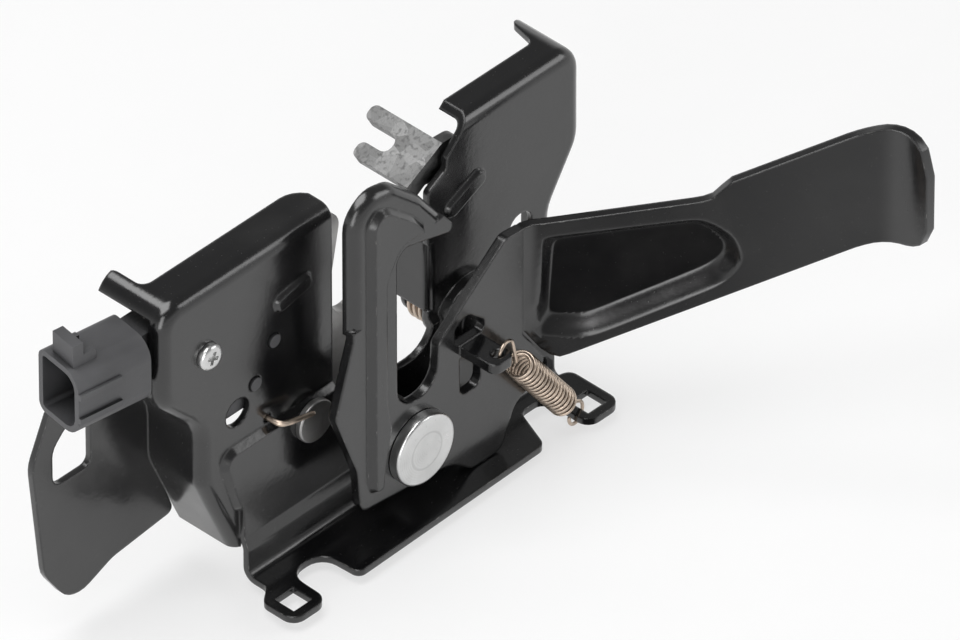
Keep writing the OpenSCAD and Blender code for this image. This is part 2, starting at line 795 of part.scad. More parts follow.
module spring_tab() {
    difference() {
        translate([0, 0, tab_low]) linear_extrude(lever_t) polygon(rounded([
            [tab_left, lever_back - overlap, 0],
            [tab_left, lever_front - tab_reach, 2.5],
            [tab_right, lever_front - tab_reach, 2.5],
            [tab_right, lever_back - overlap, 0]
        ]));
        translate([tab_hole_at.x, tab_hole_at.y, tab_low - overlap])
            cylinder(d = tab_hole_d, h = lever_t + 2 * overlap);
    }
}

module safety_lever() {
    color(paint) at_pivot() difference() {
        union() {
            difference() {
                union() {
                    plate(lever_back - lever_t, lever_t) polygon(rounded(lever_corners));
                    edge_sweep(hook_path, hook_section);
                    pressing_front(rib_corners, lever_front, rib_h, rib_slope);
                }
                plate(lever_back - rib_h * 0.85, rib_h + overlap) polygon(rounded(rib_hollow));
                plate(lever_front - 5, 12) polygon(rounded(lever_window));
                plate(lever_front - 5, 12) polygon(rounded(lance_slot));
            }
            spring_tab();
            handle();
        }
        disc([0, 0], lever_pin_d + 2 * bush_wall + 4 * run_gap, lever_front - 5, 12);
    }
}

module lever_bush() {
    color(brass) at_pivot()
        ring([0, 0], lever_pin_d + 2 * bush_wall + 2 * run_gap, lever_pin_d + 2 * run_gap,
            lever_front, lever_t);
}

// A rivet on a front-to-back axis: front head, shank and back head
module rivet(at, shank_d, head_d, head_y, head_h, seat_y, tail_d, tail_y, tail_h) {
    edge = head_h * 0.3;
    translate([at.x, 0, at.y]) rotate([-90, 0, 0]) rotate_extrude() polygon(rounded([
        [0, head_y, 0],
        [head_d / 2, head_y, edge],
        [head_d / 2, seat_y, 0],
        [shank_d / 2, seat_y, 0],
        [shank_d / 2, tail_y, 0],
        [tail_d / 2, tail_y, 0],
        [tail_d / 2, tail_y + tail_h, tail_h * 0.4],
        [0, tail_y + tail_h, 0]
    ]));
}

lever_head_h = 3.5;
lever_tail_h = 2.4;
small_head_h = 2;

module lever_rivet() {
    seat = lever_front - end_gap;
    color(zinc) at_pivot()
        rivet([0, 0], lever_pin_d, lever_head_d, seat - lever_head_h, lever_head_h, seat,
            lever_pin_d + 5, lower_back, lever_tail_h);
}

module lever_spacer() {
    color(steel) at_pivot()
        ring([0, 0], lever_pin_d + 6, lever_pin_d + 2 * run_gap, lever_back + end_gap, lever_gap - end_gap);
}

// Places of the extension spring's two end rings
end_ring_r = 3.4;
spring_top = [tab_right + 0.2, tab_hole_at.y, tab_low + lever_t / 2];
spring_foot = [right_ear.x - ear_w / 2 + 1.8, right_ear.y, -flange_drop - base_t / 2];

// Path of the extension spring on its own axis: end loop, run in, body, run out, end loop
function end_loop(r) = [for (a = [40:20:300]) [r * sin(a), 0, r * cos(a)]];
function spring_body(r, turns, height, per_turn, fade) =
    [for (i = [0:turns * per_turn])
        let (a = 360 * i / per_turn, grown = min(1, i / fade / per_turn, (turns - i / per_turn) / fade))
        [r * ease(grown) * cos(a), r * ease(grown) * sin(a), height * i / turns / per_turn]];

module lever_spring() {
    axis = spring_foot - spring_top;
    span = norm(axis);
    body = span * 0.7;
    first = (span - body) / 2;
    r = (lever_coil_d - lever_wire) / 2;
    path = concat(
        end_loop(end_ring_r),
        [for (p = spring_body(r, lever_coils, body, 14, 0.8)) p + [0, 0, first]],
        [for (p = reversed(end_loop(end_ring_r))) [p.x, p.y, span - p.z]]
    );
    color(spring_steel) at_pivot() translate(spring_top)
        rotate([0, acos(axis.z / span), atan2(axis.y, axis.x)])
        tube(path, lever_wire, 6);
}

// Latch claw, drawn open, measured from its own pivot

claw_corners = [
    [6, -11, 6],
    [24, 8, 8],
    [37.5, 19, 3],
    [38.5, 26.5, 3.4],
    [27.5, 27.5, 5],
    [17, 20.5, 6],
    [11.5, 31, 6],
    [17, 60.1, 5.3],
    [5.3, 60.1, 5.3],
    [4, 34, 20],
    [-9, 9.5, 12],
    [-11.5, -7, 9]
];

module latch_claw() {
    color(steel) at_pivot() difference() {
        translate([claw_at.x, 0, claw_at.y])
            plate(claw_front + end_gap, claw_t) polygon(rounded(claw_corners));
        disc(claw_at, small_pin_d + 2 * run_gap, claw_front - overlap, claw_t + 3 * overlap);
    }
}

// Release pawl, drawn as it holds the closed claw, then turned back to rest

horn_r = 5.85;
horn_reach = 55.4;
horn_angle = 78.4 - claw_turn;
hold_gap = 0.3;
fork_t = pawl_t;
function beside_horn(reach) =
    claw_at + reach * [cos(horn_angle), sin(horn_angle)]
    + (horn_r + hold_gap) * [-sin(horn_angle), cos(horn_angle)];
nose = beside_horn(horn_reach - 0.4);
nose_root = beside_horn(horn_reach + 7.6);
fork_left = [8.3, 64.5];
fork_right = [20.5, 74];
pawl_corners = [
    [pawl_at.x - 9.5, 9, 8],
    [pawl_at.x + 9.5, 7.5, 8],
    [pawl_at.x + 11, 24, 12],
    [36.5, 52, 16],
    [27, 74.6, 4],
    [fork_right.x, fork_right.y, 1],
    [fork_left.x, fork_left.y, 1],
    [nose.x, nose.y, 0.8],
    [nose_root.x, nose_root.y, 2],
    [26.2, 53, 10],
    [pawl_at.x - 10.5, 30, 14]
];
fork_tilt = atan2(fork_right.y - fork_left.y, fork_right.x - fork_left.x);
fork_w = norm(fork_right - fork_left);
prong_w = (fork_w - fork_notch_w) / 2;
fork_front = claw_front + end_gap;
fork_corners = [
    [0, fork_front, 0],
    [fork_w, fork_front, 0],
    [fork_w, fork_len, 2],
    [fork_w - prong_w, fork_len, 2],
    [fork_w - prong_w, fork_len - 13, 2.5],
    [prong_w, fork_len - 13, 2.5],
    [prong_w, fork_len - 4, 2],
    [0, fork_len - 4, 2]
];

module release_pawl() {
    color(zinc) at_pivot()
        translate([pawl_at.x, 0, pawl_at.y])
        rotate([0, pawl_turn, 0])
        translate([-pawl_at.x, 0, -pawl_at.y])
        difference() {
            union() {
                plate(claw_front + end_gap, pawl_t) polygon(rounded(pawl_corners));
                translate([fork_left.x, 0, fork_left.y])
                    rotate([0, -fork_tilt, 0])
                    translate([0, 0, -fork_t])
                    linear_extrude(fork_t) polygon(rounded(fork_corners));
            }
            disc(pawl_at, small_pin_d + 2 * run_gap, claw_front - overlap, pawl_t + 3 * overlap);
        }
}

// Pieces on the claw and pawl pivots

coil_room = torsion_wire * (torsion_turns + 1) + 1.4;
claw_bush_y = claw_back + 2 * end_gap;
pawl_bush_y = pawl_back + 2 * end_gap;
bush_len = coil_room;
small_bush_d = small_pin_d + 3;
coil_r = small_bush_d / 2 + torsion_wire / 2 + 0.5;
small_tail_h = 2;
boss_front = lower_front - boss_h;

module claw_rivet() {
    color(steel) at_pivot()
        rivet(claw_at, small_pin_d, small_head_d, lower_front - small_head_h, small_head_h, lower_front,
            small_bush_d + 2, claw_bush_y + bush_len, small_tail_h);
}

module pawl_rivet() {
    color(paint) at_pivot()
        rivet(pawl_at, small_pin_d, small_head_d, boss_front - small_head_h, small_head_h, boss_front,
            small_bush_d + 2, pawl_bush_y + bush_len, small_tail_h);
}

module claw_washer() {
    color(zinc) at_pivot()
        ring(claw_at, small_pin_d + 8, small_pin_d + 2 * run_gap, base_t + seat_gap, claw_gap - seat_gap);
}

module pawl_washer() {
    color(zinc) at_pivot()
        ring(pawl_at, small_pin_d + 8, small_pin_d + 2 * run_gap, base_t + seat_gap, claw_gap - seat_gap);
}

module claw_bush() {
    color(steel) at_pivot()
        ring(claw_at, small_bush_d, small_pin_d + 2 * run_gap, claw_bush_y, bush_len);
}

module pawl_bush() {
    color(steel) at_pivot()
        ring(pawl_at, small_bush_d, small_pin_d + 2 * run_gap, pawl_bush_y, bush_len);
}

// Path of a torsion spring on its bush, from the front leg to the back one
spring_lift = torsion_wire / 2 + 0.4;
spring_pitch = torsion_wire * 1.12;
function torsion_coil(side, y) =
    [for (a = [0:18:360 * torsion_turns])
        [side * coil_r * cos(a), y + spring_lift + spring_pitch * a / 360, coil_r * sin(a)]];
// Hole in the panel for the claw spring's fixed leg, clear of the turning claw
spring_hole = [-15, 8];
leg_front = lower_front - small_head_h - torsion_wire / 2 - 0.2;

// Legs of the torsion springs: the free leg hooks in, the fixed one leaves the coil
leg_len = 13;
leg_knee = 7;
leg_hook = 3;
leg_ease = 0.6;
leg_step = 0.4;
leg_rise = 4;
leg_corner = 1.5;

module claw_spring() {
    y = claw_bush_y;
    back = y + spring_lift + spring_pitch * torsion_turns;
    path = concat(
        [
            [-coil_r + leg_hook, y + spring_lift, -leg_len],
            [-coil_r + leg_ease, y + spring_lift, -leg_knee]
        ],
        torsion_coil(-1, y),
        [
            [-coil_r - leg_step, back, leg_rise],
            [spring_hole.x + leg_corner, back, spring_hole.y - leg_ease],
            [spring_hole.x, back - leg_corner, spring_hole.y],
            [spring_hole.x, leg_front + leg_corner, spring_hole.y],
            [spring_hole.x + leg_corner, leg_front, spring_hole.y - leg_ease / 2],
            [-2, leg_front, 5]
        ]
    );
    color(spring_steel) at_pivot() translate([claw_at.x, 0, claw_at.y]) tube(path, torsion_wire, 8);
}

module pawl_spring() {
    y = pawl_bush_y;
    back = y + spring_lift + spring_pitch * torsion_turns;
    path = concat(
        [
            [coil_r - leg_hook, y + spring_lift, -leg_len],
            [coil_r - leg_ease, y + spring_lift, -leg_knee]
        ],
        torsion_coil(1, y),
        [[coil_r + leg_step, back, leg_rise], [coil_r - leg_hook / 3, back, leg_len]]
    );
    color(spring_steel) at_pivot() translate([pawl_at.x, 0, pawl_at.y]) tube(path, torsion_wire, 8);
}

// Switch and connector

seat_gap = 0.05;
switch_front = base_t + seat_gap;
switch_back = switch_front + switch_depth;
switch_left = -70;
switch_right = -33.5;
switch_low = 31;
switch_high = 64;
plunger_z = 56;
plunger_y = claw_front + end_gap + claw_t / 2;
plunger_tip = claw_at.x + 4.2 - hold_gap;
plunger_len = 26;
plunger_bore_len = 27;
switch_corners = [
    [switch_right, switch_low, 3],
    [switch_right, switch_high, 3],
    [switch_left + 16, switch_high, 2],
    [switch_left + 12, 73, 3],
    [switch_left, 74, 3],
    [switch_left, 55, 3],
    [switch_left + 12, switch_low, 6]
];
cover_corners = moved(switch_corners, 1);
// The connector's root stands off the panel's left wall
shroud_out = 3.2;
shroud_root = [-half_w - shroud_out, 8, 66];
neck_lap = 3;
shroud_corners = [
    [-shroud_w / 2, -shroud_h / 2, 3],
    [shroud_w / 2, -shroud_h / 2, 6],
    [shroud_w / 2, shroud_h / 2, 6],
    [-shroud_w / 2, shroud_h / 2, 3]
];
shroud_floor = 4;
pin_len = 14;
pin_w = 1.2;
pin_t = 0.8;
pin_places = [-4, 4];

// Draws in the connector's own frame: +X along the shroud to its mouth
module at_shroud() {
    translate(shroud_root) rotate([0, 0, 180 - shroud_turn]) children();
}

// An outline of [width, height] drawn along the shroud
module shroud_run(start, length, corners) {
    translate([start, 0, 0]) rotate([90, 0, 90]) linear_extrude(length) polygon(rounded(corners));
}

module switch_housing() {
    color(plastic) at_pivot() difference() {
        union() {
            plate(switch_front, switch_depth) polygon(rounded(switch_corners));
            for (at = peg_places)
                disc(at, peg_d, -0.6, switch_front + 0.6 + overlap);
            // Neck between the shroud and the switch
            translate([shroud_root.x - neck_lap, bend_out + 1.3, shroud_root.z - 9])
                cube([switch_left - shroud_root.x + 2 * neck_lap, 9.5, 17]);
            at_shroud() {
                shroud_run(0, shroud_len, shroud_corners);
                // Locking ramp over the mouth, keying ribs beside it
                translate([shroud_len - 5, -4.5, shroud_h / 2 - overlap]) cube([3.4, 9, 8]);
                translate([shroud_len - 9, -4.5, shroud_h / 2 - overlap]) cube([7.4, 1.8, 4]);
                translate([shroud_len - 9, 2.7, shroud_h / 2 - overlap]) cube([7.4, 1.8, 4]);
                for (z = [-4, 4])
                    translate([shroud_len - 14, shroud_w / 2 - overlap, z - 0.9]) cube([14, 1.9, 1.8]);
            }
        }
        at_shroud() {
            shroud_run(shroud_floor, shroud_len, moved(shroud_corners, shroud_wall));
            for (y = pin_places)
                translate([shroud_floor - 3, y - pin_w / 2, -pin_t / 2]) cube([6, pin_w, pin_t]);
        }
        translate([switch_right - plunger_bore_len, plunger_y, plunger_z]) rotate([0, 90, 0])
            cylinder(d = plunger_d + 2 * run_gap, h = plunger_bore_len + overlap);
        disc(switch_screw_at, screw_d + run_gap, switch_front - overlap, 11);
        // Core-out in the back, closed by the cover
        plate(plunger_y + plunger_d / 2 + 2, switch_depth) polygon(rounded([
            [switch_right - 4, switch_low + 4, 2],
            [switch_right - 4, switch_high - 4, 2],
            [switch_left + 18, switch_high - 4, 2],
            [switch_left + 18, switch_low + 4, 2]
        ]));
    }
}

module switch_cover() {
    color(plastic) at_pivot() plate(switch_back, cover_t) polygon(rounded(cover_corners));
}

module connector_pins() {
    color(brass) at_pivot() at_shroud() for (y = pin_places)
        translate([shroud_floor - 3, y - pin_w / 2, -pin_t / 2]) cube([pin_len, pin_w, pin_t]);
}

module switch_screw() {
    head_h = 2.4;
    recess_d = screw_head_d * 0.5;
    recess_w = 1.1;
    recess_h = 1.2;
    color(zinc) at_pivot() translate([switch_screw_at.x, 0, switch_screw_at.y]) rotate([-90, 0, 0])
        difference() {
            rotate_extrude() polygon(rounded([
                [0, -head_h, 0],
                [screw_head_d / 2, -head_h, head_h * 0.6],
                [screw_head_d / 2, 0, 0],
                [screw_d / 2, 0, 0],
                [screw_d / 2, 10, 0.8],
                [0, 10, 0]
            ]));
            for (a = [0, 90])
                rotate([0, 0, a + 20]) translate([-recess_d / 2, -recess_w / 2, -head_h - overlap])
                    cube([recess_d, recess_w, recess_h + overlap]);
        }
}

module switch_plunger() {
    color(plastic) at_pivot() translate([plunger_tip - plunger_len, plunger_y, plunger_z])
        rotate([0, 90, 0]) rotate_extrude() polygon(rounded([
            [0, 0, 0],
            [plunger_d / 2, 0, 0],
            [plunger_d / 2, plunger_len, plunger_d * 0.36],
            [0, plunger_len, 0]
        ]));
}

module plunger_spring() {
    floor_x = switch_right - plunger_bore_len;
    room = plunger_tip - plunger_len - floor_x;
    color(spring_steel) at_pivot()
        translate([floor_x + plunger_wire / 2 + 0.1, plunger_y, plunger_z]) rotate([0, 90, 0])
        tube(spring_body((plunger_d - plunger_wire) / 2 - 0.3, 6, room - plunger_wire - 0.2, 12, 0.01),
            plunger_wire, 6);
}

base_plate();
safety_lever();
lever_bush();
lever_rivet();
lever_spacer();
lever_spring();
latch_claw();
claw_rivet();
claw_washer();
claw_bush();
claw_spring();
release_pawl();
pawl_rivet();
pawl_washer();
pawl_bush();
pawl_spring();
switch_housing();
switch_cover();
switch_screw();
switch_plunger();
plunger_spring();
connector_pins();
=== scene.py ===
"""Dresses the bonnet latch in paint, plate, spring wire and plastic, and sets it on a white stage."""

import math

import bmesh
import bpy
from bpy.props import FloatProperty, FloatVectorProperty, IntProperty, PointerProperty
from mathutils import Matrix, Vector


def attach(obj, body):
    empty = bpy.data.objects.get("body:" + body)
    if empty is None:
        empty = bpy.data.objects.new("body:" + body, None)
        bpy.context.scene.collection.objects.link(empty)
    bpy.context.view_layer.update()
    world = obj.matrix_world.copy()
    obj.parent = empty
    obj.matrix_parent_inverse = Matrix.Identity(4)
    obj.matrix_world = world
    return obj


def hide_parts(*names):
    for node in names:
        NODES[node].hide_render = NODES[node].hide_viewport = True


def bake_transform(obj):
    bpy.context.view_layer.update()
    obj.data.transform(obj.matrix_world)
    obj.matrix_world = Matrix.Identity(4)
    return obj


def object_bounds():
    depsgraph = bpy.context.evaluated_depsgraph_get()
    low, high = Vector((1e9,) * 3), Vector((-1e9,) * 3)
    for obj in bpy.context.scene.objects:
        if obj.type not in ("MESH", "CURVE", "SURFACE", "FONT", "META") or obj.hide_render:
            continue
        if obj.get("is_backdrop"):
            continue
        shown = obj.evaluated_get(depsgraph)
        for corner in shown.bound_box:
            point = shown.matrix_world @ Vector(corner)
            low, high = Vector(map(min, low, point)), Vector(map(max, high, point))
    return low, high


bl_info = {
    "name": "Bonnet latch finishes",
    "version": (1, 0, 0),
    "blender": (4, 5, 0),
    "location": "View3D > Sidebar > Latch",
    "description": "Gives the bonnet latch its paint, plating, plastic and studio stage",
    "category": "Object",
}

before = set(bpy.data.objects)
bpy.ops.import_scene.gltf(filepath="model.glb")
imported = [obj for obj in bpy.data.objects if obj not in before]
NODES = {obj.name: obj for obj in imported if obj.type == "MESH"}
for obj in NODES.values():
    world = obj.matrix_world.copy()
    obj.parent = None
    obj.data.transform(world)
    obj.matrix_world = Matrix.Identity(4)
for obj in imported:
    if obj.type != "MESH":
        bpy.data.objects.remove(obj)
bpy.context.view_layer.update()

# The nodes that wear each finish
PAINTED = ("base_plate", "pawl_rivet")
BRIGHT_ZINC = ("lever_rivet", "claw_washer", "pawl_washer", "switch_screw")
GREY_STEEL = ("latch_claw", "lever_spacer", "claw_bush", "pawl_bush", "claw_rivet")
GALVANISED = ("release_pawl",)
SPRINGS = ("claw_spring", "pawl_spring", "plunger_spring")
MOULDED = ("switch_housing", "switch_cover", "switch_plunger")
BRASS = ("connector_pins", "lever_bush")

# Joining, easing and shading of the meshes
WELD = 0.000004
FLAT_ANGLE = math.radians(0.4)
EASED_ANGLE = math.radians(34.0)
EASED_STEPS = 2
SHARP_ANGLE = math.radians(26.0)
WIRE_SHARP_ANGLE = math.radians(60.0)
LARGE_FACE_WEIGHT = 50

# The handle's sheet: end of its bend at mid sheet, its turn, ways of its length and front, half thickness
HANDLE_BEND = (0.042173, -0.015803, -0.033)
HANDLE_TURN = math.radians(44.0)
HANDLE_ALONG = (round(math.cos(HANDLE_TURN), 6), -round(math.sin(HANDLE_TURN), 6), 0.0)
HANDLE_FRONT = (HANDLE_ALONG[1], -HANDLE_ALONG[0], 0.0)
HANDLE_HALF = 0.0014

# Its pressed hollow: corners as (distance along, height), and the form of its wall
HOLLOW_CORNERS = (
    (0.001, 0.0465), (-0.001, 0.012), (0.0145, 0.010), (0.053, 0.0285),
    (0.058, 0.036), (0.0555, 0.045), (0.046, 0.052))
HOLLOW_DEPTH = 0.005
HOLLOW_WALL = 0.006
HOLLOW_SOFT = 0.0011
HOLLOW_FAR = 0.012

# The stretch of the handle that is cut finer, and the cosines to its front that tell face from rim
FINE_REACH = (0.0003, 0.07)
FINE_CUTS = 4
FACE_COSINE = 0.4
RIM_COSINE = 0.25

# Where the coat's gloss is lowered on the handle and its hollow as painted shade: how squarely a point
# faces front, its distance along, its level
SHADE_FACING = (0.84, 0.95)
SHADE_START = (-0.001, 0.002)
SHADE_REACH = (0.03, 0.085)
SHADE_HOLLOW = (-0.0012, -0.0028)
PANEL_GLOSS = 0.5
HANDLE_SHADED_GLOSS = (0.16, 0.3)
HOLLOW_SHADED_GLOSS = 0.12

# Fixed facts of the finishes
RIVET_AXIS = (-0.0023, -0.033)
RING_PITCH = 0.0007
WORN_EDGE = 0.0005
BARE_STEEL = (0.22, 0.215, 0.205)
PAINT_IOR = 1.65
PLASTIC_IOR = 1.5
# Reach of the painted shade inside the connector's mouth
MOUTH_SHADE_REACH = 0.014

# The stage: floor, world light, camera, and each soft box's name, share of the key light, size and place
FLOOR_REACH = 3.0
FLOOR_GAP = 0.0005
FLOOR_CORNERS = ((-1, -1), (1, -1), (1, 1), (-1, 1))
FLOOR_GLOW = 0.62
BAND_HEIGHTS = (0.1, 0.55)
WHITE = (1.0, 1.0, 1.0, 1.0)
SENSOR_WIDTH = 36.0
CLIP_END = 20.0
SOFT_BOXES = (
    ("overhead_box", 1.0, (0.9, 0.7), (-0.25, 0.15, 0.95)),
    ("left_strip", 0.35, (0.35, 0.8), (-0.85, -0.45, 0.35)),
    ("right_box", 0.3, (0.6, 0.5), (0.75, -0.65, 0.55)),
)


class LatchPaint(bpy.types.PropertyGroup):
    """Black paint of the stampings and the pawl's rivet."""

    colour: FloatVectorProperty(
        name="Paint colour", description="Colour of the black coat",
        subtype="COLOR", size=3, min=0, max=1, default=(0.005, 0.005, 0.0054))
    dust: FloatVectorProperty(
        name="Dust colour", description="Colour of the fine dust on the coat",
        subtype="COLOR", size=3, min=0, max=1, default=(0.09, 0.088, 0.085))
    roughness: FloatProperty(
        name="Gloss roughness", description="Roughness of the clean coat",
        subtype="FACTOR", min=0, max=1, default=0.17)
    peel: FloatProperty(
        name="Orange peel", description="Strength of the coat's waviness",
        subtype="FACTOR", min=0, max=1, default=0.06)
    edge: FloatProperty(
        name="Edge radius", description="Rounding of the sheared sheet edges",
        unit="LENGTH", min=0, default=0.0003)
    flow: FloatProperty(
        name="Coat flow", description="How far the coat rounds over bends and corners",
        unit="LENGTH", min=0, default=0.0009)


class LatchMetal(bpy.types.PropertyGroup):
    """Bare and plated metals."""

    zinc: FloatVectorProperty(
        name="Zinc", description="Colour of the bright zinc plate",
        subtype="COLOR", size=3, min=0, max=1, default=(0.63, 0.632, 0.628))
    steel: FloatVectorProperty(
        name="Steel", description="Colour of the grey steel",
        subtype="COLOR", size=3, min=0, max=1, default=(0.36, 0.355, 0.35))
    galvanised: FloatVectorProperty(
        name="Galvanised", description="Colour of the galvanised pawl",
        subtype="COLOR", size=3, min=0, max=1, default=(0.15, 0.15, 0.149))
    spring: FloatVectorProperty(
        name="Spring wire", description="Colour of the oiled spring wire",
        subtype="COLOR", size=3, min=0, max=1, default=(0.40, 0.33, 0.27))
    brass: FloatVectorProperty(
        name="Brass", description="Colour of the terminals and the bush",
        subtype="COLOR", size=3, min=0, max=1, default=(0.66, 0.49, 0.21))
    edge: FloatProperty(
        name="Edge radius", description="Rounding of the metal edges",
        unit="LENGTH", min=0, default=0.00022)
    wire_detail: IntProperty(
        name="Wire detail", description="Smoothing steps of the spring wire",
        min=0, max=3, default=2)


class LatchPlastic(bpy.types.PropertyGroup):
    """Moulded switch and connector."""

    colour: FloatVectorProperty(
        name="Plastic colour", description="Colour of the moulded switch",
        subtype="COLOR", size=3, min=0, max=1, default=(0.055, 0.055, 0.058))
    roughness: FloatProperty(
        name="Grain roughness", description="Roughness of the moulded grain",
        subtype="FACTOR", min=0, max=1, default=0.46)
    edge: FloatProperty(
        name="Edge radius", description="Rounding of the moulded edges",
        unit="LENGTH", min=0, default=0.0003)


class LatchStage(bpy.types.PropertyGroup):
    """Floor, lights and camera."""

    azimuth: FloatProperty(
        name="Azimuth", description="Camera's turn round the latch",
        subtype="ANGLE", default=math.radians(-46.4))
    elevation: FloatProperty(
        name="Elevation", description="Camera's height angle",
        subtype="ANGLE", default=math.radians(39.0))
    distance: FloatProperty(
        name="Distance", description="Camera's distance from its aim",
        unit="LENGTH", default=6.0)
    focal: FloatProperty(
        name="Focal length", description="Camera lens in millimetres on a 36 mm sensor",
        default=843.75)
    aim: FloatVectorProperty(
        name="Aim", description="Point that the camera looks at",
        subtype="TRANSLATION", unit="LENGTH", size=3, default=(0.0183, -0.0194, -0.0002))
    floor: FloatVectorProperty(
        name="Floor colour", description="Colour of the studio floor",
        subtype="COLOR", size=3, min=0, max=1, default=(0.86, 0.86, 0.86))
    key: FloatProperty(
        name="Key light", description="Power of the large overhead light",
        unit="POWER", min=0, default=9.0)
    fill: FloatProperty(
        name="Overhead fill", description="Strength of the surrounding light overhead",
        min=0, default=0.22)
    band: FloatProperty(
        name="Low band", description="Strength of the surrounding light near the horizon",
        min=0, default=0.9)


class Tree:
    """A node tree, built up one node at a time and laid out on a grid."""

    GRID_START = (-1600, 500)
    GRID_STEP = (170, -240)
    GRID_COLUMNS = 8

    def __init__(self, tree):
        self.tree = tree
        self.count = 0

    def add(self, kind, **settings):
        """A new node with its settings."""
        node = self.tree.nodes.new(kind)
        self.count += 1
        row, column = divmod(self.count, self.GRID_COLUMNS)
        node.location = (self.GRID_START[0] + self.GRID_STEP[0] * column,
                         self.GRID_START[1] + self.GRID_STEP[1] * row)
        for key, value in settings.items():
            setattr(node, key, value)
        return node

    def feed(self, socket, value):
        """Links an output into a socket, or sets the socket's own value."""
        if isinstance(value, bpy.types.NodeSocket):
            self.tree.links.new(value, socket)
        else:
            socket.default_value = value

    def pair(self, kind, operation, a, b):
        """Outputs of a new node that works on two outputs or fixed values."""
        node = self.add(kind, operation=operation)
        self.feed(node.inputs[0], a)
        self.feed(node.inputs[1], b)
        return node.outputs

    def math(self, operation, a, b):
        """One step of arithmetic on numbers."""
        return self.pair("ShaderNodeMath", operation, a, b)["Value"]

    def share(self, value, part):
        """A part of a value."""
        return self.math("MULTIPLY", value, part)

    def vector(self, operation, a, b):
        """One step of arithmetic on vectors that gives a vector."""
        return self.pair("ShaderNodeVectorMath", operation, a, b)["Vector"]

    def dot(self, a, b):
        """How far one vector reaches along another."""
        return self.pair("ShaderNodeVectorMath", "DOT_PRODUCT", a, b)["Value"]

    def ramp(self, value, span, to=(0.0, 1.0)):
        """The value eased from its span into another range."""
        node = self.add("ShaderNodeMapRange", interpolation_type="SMOOTHSTEP")
        for key, number in zip(("From Min", "From Max", "To Min", "To Max"), (*span, *to)):
            node.inputs[key].default_value = number
        self.feed(node.inputs["Value"], value)
        return node.outputs["Result"]


class Nodes(Tree):
    """A new material's node tree, with the patterns that the finishes share."""

    def __init__(self, name):
        self.material = bpy.data.materials.new(name)
        self.material.use_nodes = True
        super().__init__(self.material.node_tree)
        self.shader = self.tree.nodes["Principled BSDF"]
        self.out = self.tree.nodes["Material Output"]
        self.place = self.add("ShaderNodeTexCoord").outputs["Object"]

    def noise(self, scale, detail=4.0):
        """Soft clouds, so many to the metre."""
        node = self.add("ShaderNodeTexNoise")
        node.inputs["Scale"].default_value = scale
        node.inputs["Detail"].default_value = detail
        self.feed(node.inputs["Vector"], self.place)
        return node.outputs["Fac"]

    def cells(self, scale):
        """Outputs of a cell pattern, so many cells to the metre."""
        node = self.add("ShaderNodeTexVoronoi")
        node.inputs["Scale"].default_value = scale
        self.feed(node.inputs["Vector"], self.place)
        return node.outputs

    def mix(self, amount, a, b):
        """One colour going over into another."""
        node = self.add("ShaderNodeMix", data_type="RGBA")
        self.feed(node.inputs["Factor"], amount)
        for socket, value in zip([s for s in node.inputs if s.type == "RGBA"], (a, b)):
            self.feed(socket, value if isinstance(value, bpy.types.NodeSocket) else (*value[:3], 1.0))
        return [s for s in node.outputs if s.type == "RGBA"][0]

    def rounded(self, radius, samples):
        """The surface's normal with its edges rounded off."""
        node = self.add("ShaderNodeBevel", samples=samples)
        node.inputs["Radius"].default_value = radius
        return node.outputs["Normal"]

    def normal(self):
        """The surface's own normal."""
        return self.add("ShaderNodeNewGeometry").outputs["Normal"]

    def edges(self, radius):
        """How near a sharp edge a point is: the turn between its own normal and a rounded one."""
        return self.math("SUBTRACT", 1.0, self.dot(self.rounded(radius, samples=4), self.normal()))

    def rings(self, centre, pitch):
        """Distance from an axis along Y through the centre (x, z), and turned rings round it."""
        offset = self.vector("SUBTRACT", self.place, (centre[0], 0.0, centre[1]))
        across = self.vector("MULTIPLY", offset, (1.0, 0.0, 1.0))
        length = self.add("ShaderNodeVectorMath", operation="LENGTH")
        self.feed(length.inputs[0], across)
        reach = length.outputs["Value"]
        turns = self.math("MULTIPLY", reach, 2.0 * math.pi / pitch)
        return reach, self.math("SINE", turns, 0.0)

    def bump(self, height, strength, distance, normal=None):
        """The normal of a surface raised by a height, over another normal where one is given."""
        node = self.add("ShaderNodeBump")
        node.inputs["Strength"].default_value = strength
        node.inputs["Distance"].default_value = distance
        self.feed(node.inputs["Height"], height)
        if normal is not None:
            self.feed(node.inputs["Normal"], normal)
        return node.outputs["Normal"]

    def set(self, **values):
        """Feeds the shader's inputs and gives back the finished material."""
        for key, value in values.items():
            self.feed(self.shader.inputs[key.replace("_", " ")], value)
        return self.material


def shade(colour, factor):
    """The colour, made darker or lighter."""
    return tuple(min(1.0, c * factor) for c in colour)


def gloss_and_painted_shade(n):
    """The coat's gloss: full on the panels; lowered along the handle's front and lowest in its hollow as
    painted shade, which darkens their reflection.
    """
    offset = n.vector("SUBTRACT", n.place, HANDLE_BEND)
    level = n.dot(offset, HANDLE_FRONT)
    reach = n.dot(offset, HANDLE_ALONG)
    facing = n.ramp(n.dot(n.normal(), HANDLE_FRONT), SHADE_FACING)
    front = n.math("MULTIPLY", facing, n.ramp(reach, SHADE_START))
    hollow = n.ramp(level, SHADE_HOLLOW)
    # Painted shade: the gloss is lowered along the handle's front and lowered more in its hollow
    along = n.ramp(reach, SHADE_REACH, to=HANDLE_SHADED_GLOSS)
    handle = n.math("MULTIPLY", along, n.ramp(hollow, (0.0, 1.0), to=(1.0, HOLLOW_SHADED_GLOSS)))
    panels = n.share(n.math("SUBTRACT", 1.0, front), PANEL_GLOSS)
    return n.math("ADD", n.math("MULTIPLY", front, handle), panels)


